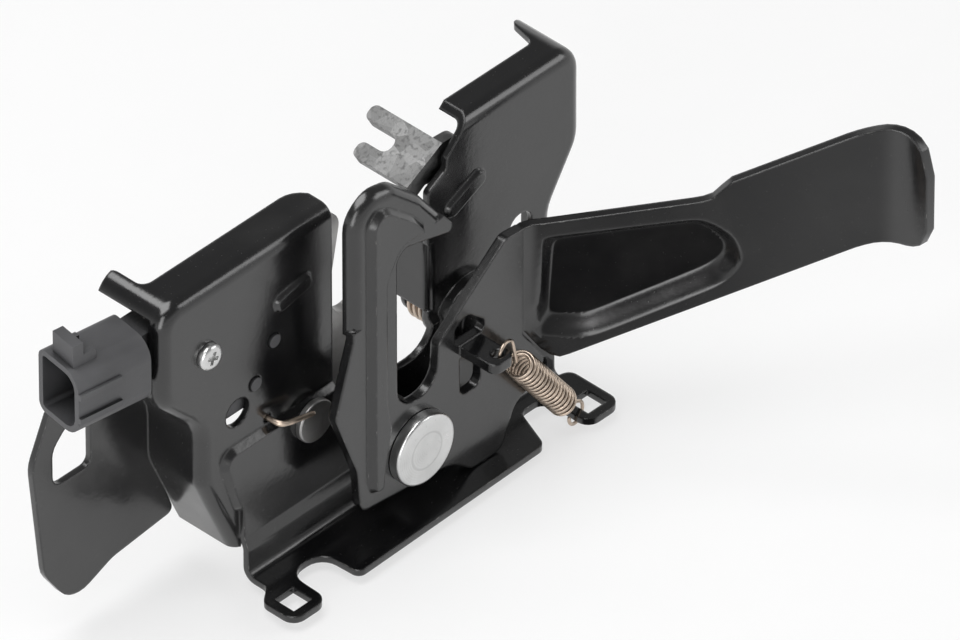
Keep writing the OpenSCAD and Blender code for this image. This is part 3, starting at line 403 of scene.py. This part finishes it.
def black_paint(look):
    """Gloss black dip coat: waviness, a thin dust film, worn high edges, and painted shade as lowered
    gloss on the handle and its hollow.
    """
    n = Nodes("gloss_black_paint")
    cloud = n.noise(38.0, detail=5.0)
    film = n.ramp(cloud, (0.36, 0.78))
    speck = n.ramp(n.noise(1500.0, detail=2.0), (0.70, 0.76))
    worn = n.ramp(n.edges(WORN_EDGE), (0.02, 0.16))
    chip = n.math("MULTIPLY", worn, n.ramp(n.noise(380.0, detail=3.0), (0.58, 0.68)))
    dusty = n.math("ADD", n.share(film, 0.1), n.share(speck, 0.22))
    coat = n.mix(dusty, look.colour, look.dust)
    coat = n.mix(n.share(chip, 0.7), coat, BARE_STEEL)
    clean = n.ramp(cloud, (0.3, 0.75), to=(look.roughness - 0.04, look.roughness + 0.1))
    rough = n.math("ADD", clean, n.share(speck, 0.2))
    soft = n.rounded(look.flow, samples=6)
    peel = n.bump(n.noise(620.0, detail=2.0), look.peel, distance=0.0004, normal=soft)
    wave = n.bump(n.noise(90.0, detail=1.0), look.peel, distance=0.0012, normal=peel)
    # The specular level carries the painted shade of the handle and its hollow
    return n.set(Base_Color=coat, Roughness=rough, Normal=wave, IOR=PAINT_IOR,
                 Specular_IOR_Level=gloss_and_painted_shade(n))


def bright_zinc(look):
    """Bright plate: turned rings, the painted shade of one groove round the lever's rivet as a darker
    ring in its colour, and small dull spots.
    """
    n = Nodes("bright_zinc")
    spots = n.ramp(n.noise(620.0), (0.6, 0.74))
    cloud = n.noise(110.0)
    reach, rings = n.rings(RIVET_AXIS, RING_PITCH)
    # Painted shade: a darker ring in the colour where the groove round the rivet lies
    groove = n.math("MULTIPLY", n.ramp(reach, (0.0052, 0.0056)), n.ramp(reach, (0.0062, 0.0057)))
    colour = n.mix(n.ramp(cloud, (0.3, 0.75)), shade(look.zinc, 1.06), shade(look.zinc, 0.9))
    colour = n.mix(n.share(spots, 0.3), colour, shade(look.zinc, 0.6))
    colour = n.mix(n.share(groove, 0.35), colour, shade(look.zinc, 0.5))
    rough = n.math("ADD", n.ramp(cloud, (0.3, 0.7), to=(0.27, 0.36)), n.share(spots, 0.12))
    turned = n.bump(rings, strength=0.05, distance=0.0002)
    grain = n.bump(n.noise(2600.0, detail=2.0), strength=0.06, distance=0.0002, normal=turned)
    return n.set(Base_Color=colour, Metallic=1.0, Roughness=rough, Normal=grain)


def grey_steel(look):
    """Phosphated grey steel with oil clouds."""
    n = Nodes("grey_steel")
    cloud = n.noise(80.0, detail=5.0)
    grain = n.noise(1900.0, detail=3.0)
    colour = n.mix(n.ramp(cloud, (0.32, 0.72)), shade(look.steel, 1.15), shade(look.steel, 0.7))
    colour = n.mix(n.ramp(grain, (0.55, 0.8), to=(0.0, 0.3)), colour, shade(look.steel, 0.45))
    rough = n.ramp(cloud, (0.3, 0.75), to=(0.36, 0.54))
    return n.set(Base_Color=colour, Metallic=1.0, Roughness=rough,
                 Normal=n.bump(grain, strength=0.12, distance=0.0002))


def galvanised_steel(look):
    """Galvanised sheet: soft spangle and grey oxide specks."""
    n = Nodes("galvanised_steel")
    spangle = n.add("ShaderNodeSeparateColor")
    n.feed(spangle.inputs["Color"], n.cells(260.0)["Color"])
    specks = n.ramp(n.noise(900.0), (0.52, 0.68))
    tone = n.ramp(spangle.outputs["Red"], (0.0, 1.0), to=(0.0, 0.8))
    colour = n.mix(tone, shade(look.galvanised, 1.2), shade(look.galvanised, 0.78))
    colour = n.mix(n.share(specks, 0.3), colour, shade(look.galvanised, 0.6))
    clean = n.ramp(spangle.outputs["Green"], (0.0, 1.0), to=(0.34, 0.46))
    rough = n.math("ADD", clean, n.share(specks, 0.15))
    grain = n.bump(n.noise(1500.0, detail=3.0), strength=0.12, distance=0.0002)
    return n.set(Base_Color=colour, Metallic=1.0, Roughness=rough, Normal=grain)


def spring_wire(look):
    """Oil-tempered wire, bronze-brown with brighter rubbed patches."""
    n = Nodes("oil_tempered_wire")
    cloud = n.noise(300.0)
    streak = n.noise(2400.0, detail=2.0)
    colour = n.mix(n.ramp(cloud, (0.35, 0.7)), look.spring, shade(look.spring, 1.7))
    colour = n.mix(n.ramp(streak, (0.55, 0.8), to=(0.0, 0.4)), colour, shade(look.spring, 0.4))
    rough = n.ramp(cloud, (0.3, 0.7), to=(0.26, 0.42))
    return n.set(Base_Color=colour, Metallic=1.0, Roughness=rough,
                 Normal=n.bump(streak, strength=0.1, distance=0.0001))


def moulded_plastic(look):
    """Dark moulded plastic: fine spark grain, faint flow marks, and painted shade far inside the
    connector's mouth, in its colour and its gloss.
    """
    n = Nodes("moulded_dark_plastic")
    flow = n.noise(46.0, detail=3.0)
    # Painted shade: an occlusion mask that darkens the connector's mouth
    mouth_shade = n.add("ShaderNodeAmbientOcclusion", samples=6)
    mouth_shade.inputs["Distance"].default_value = MOUTH_SHADE_REACH
    outside_mouth_shade = n.ramp(mouth_shade.outputs["AO"], (0.4, 0.8))
    colour = n.mix(n.ramp(flow, (0.3, 0.75)), shade(look.colour, 0.86), shade(look.colour, 1.35))
    # Painted shade: the colour goes near black inside the connector's mouth
    colour = n.mix(outside_mouth_shade, shade(look.colour, 0.08), colour)
    rough = n.ramp(flow, (0.3, 0.75), to=(look.roughness - 0.06, look.roughness + 0.08))
    spark = n.bump(n.cells(1500.0)["Distance"], strength=0.1, distance=0.0002)
    grain = n.bump(n.noise(900.0, detail=3.0), strength=0.08, distance=0.0003, normal=spark)
    # The gloss is lowered inside the mouth as painted shade too
    return n.set(Base_Color=colour, Roughness=rough, Normal=grain, IOR=PLASTIC_IOR,
                 Specular_IOR_Level=n.ramp(outside_mouth_shade, (0.0, 1.0), to=(0.15, 0.5)))


def plain_brass(look):
    """Drawn brass with a light tarnish."""
    n = Nodes("drawn_brass")
    cloud = n.noise(240.0)
    colour = n.mix(n.ramp(cloud, (0.35, 0.75)), shade(look.brass, 1.12), shade(look.brass, 0.62))
    grain = n.bump(n.noise(1800.0, detail=2.0), strength=0.08, distance=0.0001)
    return n.set(Base_Color=colour, Metallic=1.0, Roughness=n.ramp(cloud, (0.3, 0.7), to=(0.24, 0.4)),
                 Normal=grain)


def white_floor(look):
    """A floor that shows as near white to the camera and in reflections, and still takes the shadow."""
    n = Nodes("studio_floor")
    grain = n.noise(60.0, detail=3.0)
    n.set(Base_Color=n.mix(n.ramp(grain, (0.3, 0.7)), shade(look.floor, 0.99), look.floor), Roughness=0.9)
    glow = n.add("ShaderNodeEmission")
    glow.inputs["Color"].default_value = WHITE
    glow.inputs["Strength"].default_value = 1.0
    path = n.add("ShaderNodeLightPath").outputs
    seen = n.math("MAXIMUM", path["Is Camera Ray"], path["Is Glossy Ray"])
    seen = n.math("MAXIMUM", seen, path["Is Transmission Ray"])
    both = n.add("ShaderNodeMixShader")
    n.feed(both.inputs["Fac"], n.share(seen, FLOOR_GLOW))
    n.feed(both.inputs[1], n.shader.outputs["BSDF"])
    n.feed(both.inputs[2], glow.outputs["Emission"])
    n.feed(n.out.inputs["Surface"], both.outputs["Shader"])
    return n.material


def sharper_than(group, angle):
    """A field that is true on the edges that fold by more than the angle."""
    fold = group.nodes.new("GeometryNodeInputMeshEdgeAngle")
    over = group.nodes.new("FunctionNodeCompare")
    over.data_type = "FLOAT"
    over.operation = "GREATER_THAN"
    over.inputs["B"].default_value = angle
    group.links.new(fold.outputs["Unsigned Angle"], over.inputs["A"])
    return over.outputs["Result"]


def smooth_by_angle(angle):
    """A geometry node group that shades faces smooth and keeps edges over the angle sharp."""
    name = f"smooth_under_{round(math.degrees(angle))}"
    group = bpy.data.node_groups.get(name)
    if group:
        return group
    group = bpy.data.node_groups.new(name, "GeometryNodeTree")
    group.is_modifier = True
    for way in ("INPUT", "OUTPUT"):
        group.interface.new_socket("Geometry", in_out=way, socket_type="NodeSocketGeometry")
    geometry = group.nodes.new("NodeGroupInput").outputs[0]
    for domain, smooth in (("FACE", True), ("EDGE", True), ("EDGE", False)):
        step = group.nodes.new("GeometryNodeSetShadeSmooth")
        step.domain = domain
        step.inputs["Shade Smooth"].default_value = smooth
        if not smooth:
            group.links.new(sharper_than(group, angle), step.inputs["Selection"])
        group.links.new(geometry, step.inputs["Geometry"])
        geometry = step.outputs["Geometry"]
    group.links.new(geometry, group.nodes.new("NodeGroupOutput").inputs[0])
    return group


def node_object(name):
    """The CAD node of that name."""
    if name not in NODES:
        raise RuntimeError(f"the packed model has no node {name}")
    return NODES[name]


def new_object(name, data):
    """A new object in the scene."""
    piece = bpy.data.objects.new(name, data)
    bpy.context.scene.collection.objects.link(piece)
    return piece


def wear(piece, material):
    """Puts one material on every face of a piece."""
    piece.data.materials.clear()
    piece.data.materials.append(material)


def join_mesh(piece):
    """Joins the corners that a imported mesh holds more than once."""
    weld = piece.modifiers.new("join", "WELD")
    weld.merge_threshold = WELD


def smooth_between(piece, angle):
    """Shades a piece smooth between the edges that fold by more than the angle."""
    smooth = piece.modifiers.new("smooth", "NODES")
    smooth.node_group = smooth_by_angle(angle)


def ease_edges(piece, radius):
    """Clears flat facets, rounds the sharp edges and shades smooth between them, large faces flat."""
    join_mesh(piece)
    flat = piece.modifiers.new("flat_faces", "DECIMATE")
    flat.decimate_type = "DISSOLVE"
    flat.angle_limit = FLAT_ANGLE
    flat.delimit = {"SHARP"}
    bevel = piece.modifiers.new("eased_edges", "BEVEL")
    bevel.width = radius
    bevel.segments = EASED_STEPS
    bevel.limit_method = "ANGLE"
    bevel.angle_limit = EASED_ANGLE
    bevel.use_clamp_overlap = True
    bevel.miter_outer = "MITER_ARC"
    smooth_between(piece, SHARP_ANGLE)
    even = piece.modifiers.new("even_normals", "WEIGHTED_NORMAL")
    even.mode = "FACE_AREA"
    even.weight = LARGE_FACE_WEIGHT
    even.keep_sharp = True


def round_wire(piece, steps):
    """Smooths a spring's many-sided wire into a round one."""
    join_mesh(piece)
    rounding = piece.modifiers.new("round", "SUBSURF")
    rounding.levels = steps
    rounding.render_levels = steps
    smooth_between(piece, WIRE_SHARP_ANGLE)


def dress(names, material, radius):
    """Gives several nodes one finish and eases their edges."""
    for name in names:
        node = node_object(name)
        wear(node, material)
        ease_edges(node, radius)


def hollow_depth(reach, height):
    """Depth of the handle's pressed hollow at a point of its sheet."""
    total = 0.0
    for (ax, ay), (bx, by) in zip(HOLLOW_CORNERS, HOLLOW_CORNERS[1:] + HOLLOW_CORNERS[:1]):
        side = (bx - ax) * (height - ay) - (by - ay) * (reach - ax)
        inside = side / math.hypot(bx - ax, by - ay)
        total += math.exp(-max(-HOLLOW_FAR, inside) / HOLLOW_SOFT)
    share = min(1.0, max(0.0, -HOLLOW_SOFT * math.log(total) / HOLLOW_WALL))
    return HOLLOW_DEPTH * share * share * (3.0 - 2.0 * share)


def fine_faces(form):
    """The handle's faces, front and back, in the stretch that is cut finer."""
    bend, front, along = Vector(HANDLE_BEND), Vector(HANDLE_FRONT), Vector(HANDLE_ALONG)
    form.normal_update()

    def in_stretch(face):
        reach = [(vert.co - bend).dot(along) for vert in face.verts]
        return min(reach) > FINE_REACH[0] and max(reach) < FINE_REACH[1]

    return [face for face in form.faces
            if abs(face.normal.dot(front)) > FACE_COSINE and in_stretch(face)]


def press_hollow(form):
    """Cuts the handle finer and sets each of its points at the hollow's true depth."""
    bend, front, along = Vector(HANDLE_BEND), Vector(HANDLE_FRONT), Vector(HANDLE_ALONG)
    coarse = dict.fromkeys(edge for face in fine_faces(form) for edge in face.edges)
    bmesh.ops.subdivide_edges(form, edges=list(coarse), cuts=FINE_CUTS, use_grid_fill=True)
    faces = fine_faces(form)
    rim = {vert for face in form.faces if abs(face.normal.dot(front)) < RIM_COSINE for vert in face.verts}
    # The flat facets step of ease_edges leaves edges that are marked sharp
    for face in faces:
        for edge in face.edges:
            edge.smooth = False
    for vert in {vert for face in faces for vert in face.verts} - rim:
        offset = vert.co - bend
        depth = hollow_depth(offset.dot(along), offset.z)
        level = offset.dot(front)
        side = 1.0 if level + depth > 0.0 else -1.0
        vert.co += front * (side * HANDLE_HALF - depth - level)


def pressed_lever(node):
    """A copy of the lever's mesh with its pressed hollow cut finer."""
    form = bmesh.new()
    form.from_mesh(node.data)
    bmesh.ops.remove_doubles(form, verts=form.verts, dist=WELD)
    press_hollow(form)
    mesh = bpy.data.meshes.new("safety_lever_skin")
    form.to_mesh(mesh)
    form.free()
    lever = new_object("safety_lever_skin", mesh)
    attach(lever, "lever")
    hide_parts("safety_lever")
    return lever


def stretching_spring(node):
    """A fixed copy of the extension spring, its foot on the base's ear and its top at the lever's tab, in
    place of its node.
    """
    mesh = node.data.copy()
    mesh.name = "lever_spring_wire"
    spring = new_object("lever_spring_wire", mesh)
    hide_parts("lever_spring")
    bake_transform(spring)
    return spring


def lay_floor(look):
    """Lays a wide floor just under the latch."""
    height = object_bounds()[0][2] - FLOOR_GAP
    corners = [(x * FLOOR_REACH, y * FLOOR_REACH, height) for x, y in FLOOR_CORNERS]
    mesh = bpy.data.meshes.new("studio_floor")
    mesh.from_pydata(corners, [], [range(len(corners))])
    floor = new_object("studio_floor", mesh)
    wear(floor, white_floor(look))
    floor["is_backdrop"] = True


def light_world(look):
    """A world that is white to the camera and lights the latch most from near the horizon."""
    world = bpy.data.worlds.new("studio")
    bpy.context.scene.world = world
    world.use_nodes = True
    n = Tree(world.node_tree)
    path = n.add("ShaderNodeLightPath").outputs
    seen = n.math("MAXIMUM", path["Is Camera Ray"], path["Is Transmission Ray"])
    way = n.add("ShaderNodeSeparateXYZ")
    n.feed(way.inputs["Vector"], n.add("ShaderNodeTexCoord").outputs["Generated"])
    strength = n.add("ShaderNodeMix")
    n.feed(strength.inputs["Factor"], seen)
    n.feed(strength.inputs["A"], n.ramp(way.outputs["Z"], BAND_HEIGHTS, to=(look.band, look.fill)))
    n.feed(strength.inputs["B"], 1.0)
    background = world.node_tree.nodes["Background"]
    n.feed(background.inputs["Strength"], strength.outputs["Result"])
    n.feed(background.inputs["Color"], WHITE)


def soft_light(name, power, size, place, aim):
    """A rectangular soft box pointed at the aim."""
    lamp = bpy.data.lights.new(name, "AREA")
    lamp.energy = power
    lamp.shape = "RECTANGLE"
    lamp.size, lamp.size_y = size
    box = new_object(name, lamp)
    box.location = place
    box.rotation_euler = (aim - Vector(place)).to_track_quat("-Z", "Y").to_euler()


def photo_camera(look, aim):
    """The photo's camera, which looks at the aim from its azimuth and elevation."""
    level = math.cos(look.elevation)
    back = Vector((math.sin(look.azimuth) * level, -math.cos(look.azimuth) * level,
                   math.sin(look.elevation)))
    lens = bpy.data.cameras.new("photo_view")
    lens.sensor_width = SENSOR_WIDTH
    lens.lens = look.focal
    lens.clip_end = CLIP_END
    camera = new_object("photo_view", lens)
    camera.location = aim + back * look.distance
    camera.rotation_euler = (-back).to_track_quat("-Z", "Y").to_euler()
    return camera


class LATCH_OT_stampings(bpy.types.Operator):
    """Paints the base plate, the pawl's rivet and the safety lever"""

    bl_idname = "latch.stampings"
    bl_label = "Painted stampings"

    def execute(self, context):
        look = context.scene.latch_paint
        paint = black_paint(look)
        dress(PAINTED, paint, look.edge)
        lever = pressed_lever(node_object("safety_lever"))
        wear(lever, paint)
        ease_edges(lever, look.edge)
        return {"FINISHED"}


class LATCH_OT_fastenings(bpy.types.Operator):
    """Plates the lever's rivet, the washers and the screw, and finishes the brass"""

    bl_idname = "latch.fastenings"
    bl_label = "Rivet, washers, screw and brass"

    def execute(self, context):
        look = context.scene.latch_metal
        dress(BRIGHT_ZINC, bright_zinc(look), look.edge)
        dress(BRASS, plain_brass(look), look.edge)
        return {"FINISHED"}


class LATCH_OT_mechanism(bpy.types.Operator):
    """Finishes the claw with its rivet, the pawl, the steel bushes and the spacer"""

    bl_idname = "latch.mechanism"
    bl_label = "Claw, pawl, bushes and spacer"

    def execute(self, context):
        look = context.scene.latch_metal
        dress(GREY_STEEL, grey_steel(look), look.edge)
        dress(GALVANISED, galvanised_steel(look), look.edge)
        return {"FINISHED"}


class LATCH_OT_springs(bpy.types.Operator):
    """Rounds and finishes the springs"""

    bl_idname = "latch.springs"
    bl_label = "Springs"

    def execute(self, context):
        look = context.scene.latch_metal
        wire = spring_wire(look)
        stretching = stretching_spring(node_object("lever_spring"))
        for spring in (stretching, *(node_object(name) for name in SPRINGS)):
            wear(spring, wire)
            round_wire(spring, look.wire_detail)
        return {"FINISHED"}


class LATCH_OT_switch(bpy.types.Operator):
    """Finishes the moulded switch and its connector"""

    bl_idname = "latch.switch"
    bl_label = "Switch and connector"

    def execute(self, context):
        look = context.scene.latch_plastic
        dress(MOULDED, moulded_plastic(look), look.edge)
        return {"FINISHED"}


class LATCH_OT_stage(bpy.types.Operator):
    """Adds the floor, the soft lights and the camera"""

    bl_idname = "latch.stage"
    bl_label = "Stage"

    def execute(self, context):
        scene = context.scene
        look = scene.latch_stage
        aim = Vector(look.aim)
        lay_floor(look)
        light_world(look)
        for name, share, size, place in SOFT_BOXES:
            soft_light(name, look.key * share, size, place, aim)
        scene.camera = photo_camera(look, aim)
        scene.view_settings.view_transform = "Standard"
        return {"FINISHED"}


OPERATORS = (LATCH_OT_stampings, LATCH_OT_fastenings, LATCH_OT_mechanism, LATCH_OT_springs,
             LATCH_OT_switch, LATCH_OT_stage)
LOOKS = (("latch_paint", LatchPaint), ("latch_metal", LatchMetal), ("latch_plastic", LatchPlastic),
         ("latch_stage", LatchStage))


class LATCH_PT_panel(bpy.types.Panel):
    """Lists the latch's finishes and their settings"""

    bl_idname = "LATCH_PT_panel"
    bl_label = "Bonnet latch"
    bl_space_type = "VIEW_3D"
    bl_region_type = "UI"
    bl_category = "Latch"

    def draw(self, context):
        for operator in OPERATORS:
            self.layout.operator(operator.bl_idname)
        for attribute, _ in LOOKS:
            box = self.layout.box()
            look = getattr(context.scene, attribute)
            for key in look.__annotations__:
                box.prop(look, key)


def register():
    """Adds the settings, operators and panel."""
    for attribute, look in LOOKS:
        bpy.utils.register_class(look)
        setattr(bpy.types.Scene, attribute, PointerProperty(type=look))
    for item in (*OPERATORS, LATCH_PT_panel):
        bpy.utils.register_class(item)


def unregister():
    """Removes what register added."""
    for item in (LATCH_PT_panel, *reversed(OPERATORS)):
        bpy.utils.unregister_class(item)
    for attribute, look in reversed(LOOKS):
        delattr(bpy.types.Scene, attribute)
        bpy.utils.unregister_class(look)


def main():
    """Dresses the latch and sets it on its stage."""
    register()
    bpy.ops.latch.stampings()
    bpy.ops.latch.fastenings()
    bpy.ops.latch.mechanism()
    bpy.ops.latch.springs()
    bpy.ops.latch.switch()
    bpy.ops.latch.stage()


if __name__ == "__main__":
    main()
